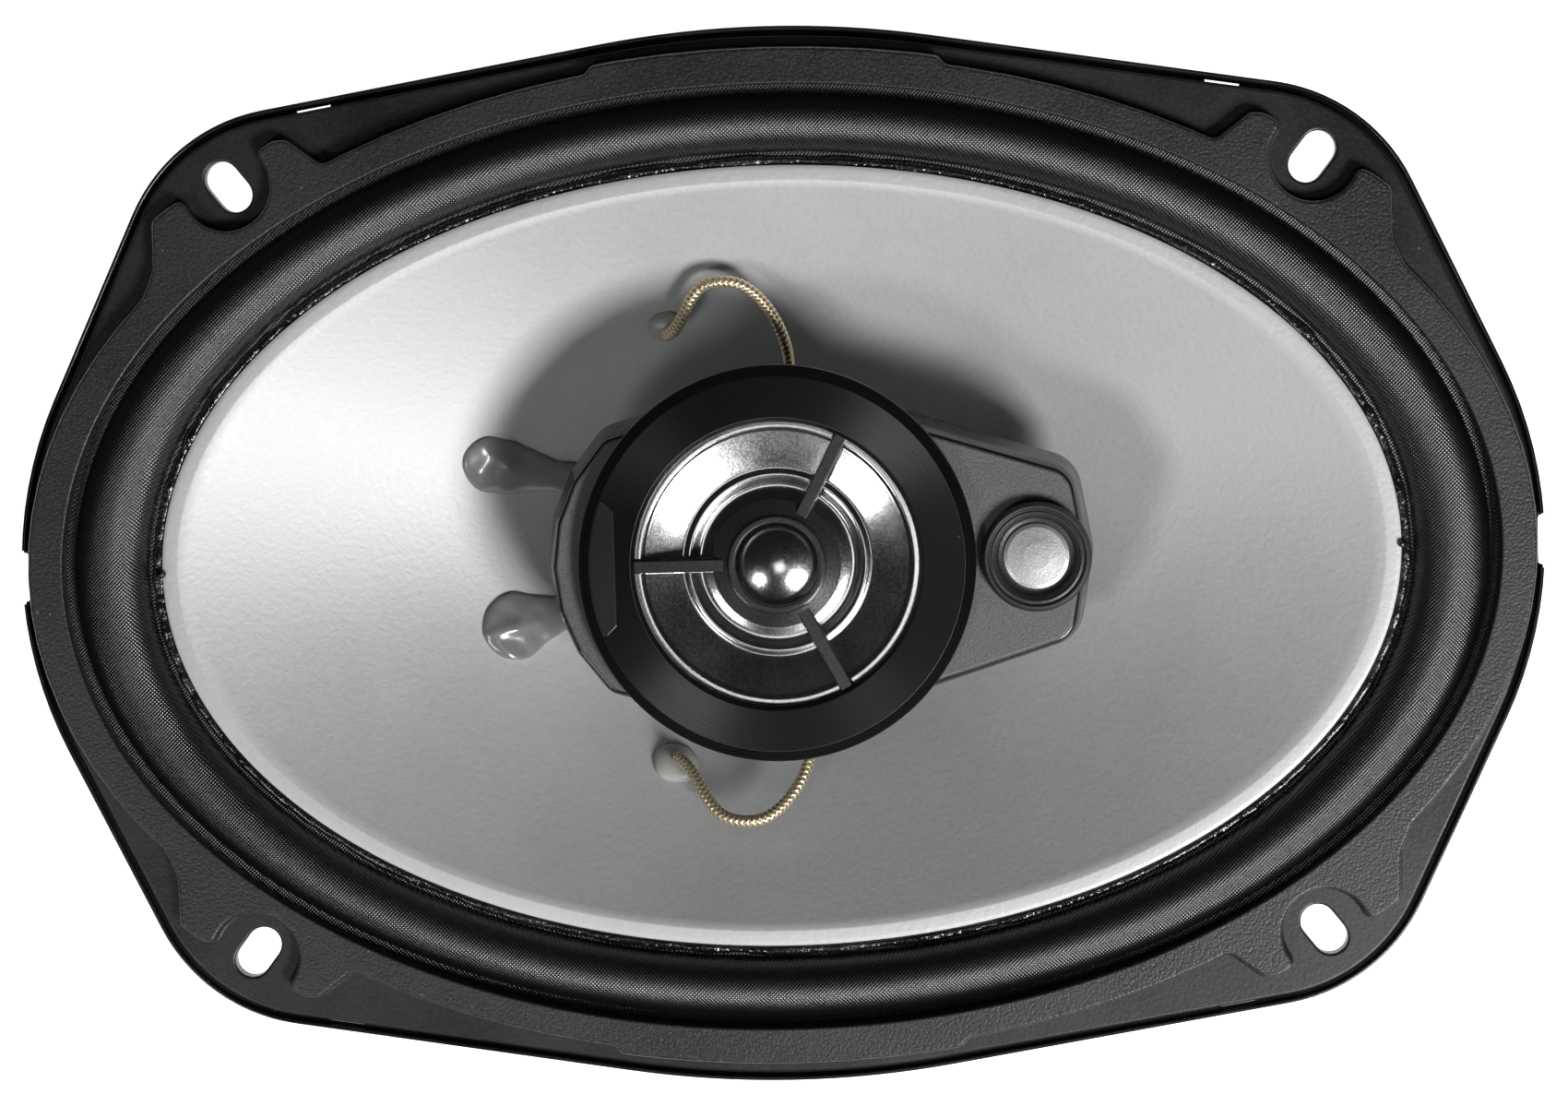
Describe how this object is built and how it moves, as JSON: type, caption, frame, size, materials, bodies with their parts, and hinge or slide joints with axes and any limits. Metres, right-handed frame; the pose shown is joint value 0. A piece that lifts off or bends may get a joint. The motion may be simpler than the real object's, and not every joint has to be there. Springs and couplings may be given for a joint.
{
  "type": "coaxial car speaker",
  "caption": "Oval coaxial car loudspeaker: pressed basket and magnet, oval cone with cloth surround, and a pod with midrange and tweeter.",
  "frame": {"origin": "centre of the four mounting slots on the rear face of the flange, on the voice coil's axis", "axes": "+Z out of the front along the voice coil's axis, +X along the flange's long side towards the small tweeter, +Y across it"},
  "size_m": [0.2378, 0.1652, 0.0881],
  "materials": {
    "basket_paint": "gloss black enamel",
    "trim_moulding": "fine moulded grain",
    "zinc_steel": "zinc plated",
    "phenolic": "brown laminate",
    "brass": "satin",
    "tin_plate": "tinned",
    "black_steel": "black passivated",
    "ferrite": "dull sintered",
    "pod_plastic": "plain moulded",
    "pod_grain": "fine spark-eroded grain",
    "turned_black": "turned and black anodised",
    "plaque_gloss": "polished",
    "grille_plastic": "satin moulded",
    "nickel": "nickel plated",
    "metal_film": "vacuum metallised mirror",
    "copper_wire": "enamelled wire",
    "tweeter_silver": "matt silver",
    "piezo_ceramic": "fired",
    "capacitor_sleeve": "shrink sleeve",
    "cone_skin": "silver-grey with a fine leathery grain",
    "former_film": "polyimide film",
    "felt": "felt",
    "clear_glue": "clear",
    "grey_glue": "cured adhesive",
    "surround_cloth": "coated woven cloth",
    "spider_cloth": "resin-treated cloth",
    "tinsel": "braided tinsel"
  },
  "bodies": {
    "chassis": {"basket": "basket_paint", "trim_ring": "trim_moulding", "basket_rivets": "zinc_steel", "terminal_board": "phenolic", "terminal_rivet": "brass", "positive_tab": "tin_plate", "negative_tab": "tin_plate", "top_plate": "black_steel", "ferrite_magnet": "ferrite", "t_yoke": "black_steel", "pod_bolt": "zinc_steel", "pod_nut": "zinc_steel", "pod_post": "pod_plastic", "pod_base": "pod_plastic", "pod_screws": "zinc_steel", "pod_housing": "pod_grain", "bezel_ring": "turned_black", "name_plaque": "plaque_gloss", "spoke_grille": "grille_plastic", "mid_frame": "pod_plastic", "mid_yoke": "zinc_steel", "mid_magnet": "nickel", "mid_pole_plate": "zinc_steel", "tweeter_ring": "grille_plastic", "tweeter_diaphragm": "tweeter_silver", "piezo_plate": "brass", "piezo_element": "piezo_ceramic", "crossover_capacitor": "capacitor_sleeve", "surround": "surround_cloth", "spider": "spider_cloth", "front_lead_upper": "tinsel", "front_lead_lower": "tinsel", "rear_lead_positive": "tinsel", "rear_lead_negative": "tinsel"},
    "cone_assembly": {"cone": "cone_skin", "voice_coil_former": "former_film", "voice_coil_winding": "copper_wire", "dust_seal": "felt", "clear_dabs": "clear_glue", "grey_dabs": "grey_glue", "cone_eyelets": "brass"},
    "mid_assembly": {"mid_diaphragm": "metal_film", "mid_dome": "metal_film", "mid_voice_coil": "copper_wire"}
  },
  "joints": [
    {"name": "cone_stroke", "type": "slide", "parent": "chassis", "child": "cone_assembly", "axis": [0, 0, 1], "range_m": [-0.005, 0.005], "stiffness_N_per_m": 2800, "deforming": ["surround", "spider", "front_lead_upper", "front_lead_lower", "rear_lead_positive", "rear_lead_negative"]},
    {"name": "mid_stroke", "type": "slide", "parent": "chassis", "child": "mid_assembly", "axis": [0, 0, 1], "range_m": [-0.0004, 0.0004], "stiffness_N_per_m": 600}
  ]
}
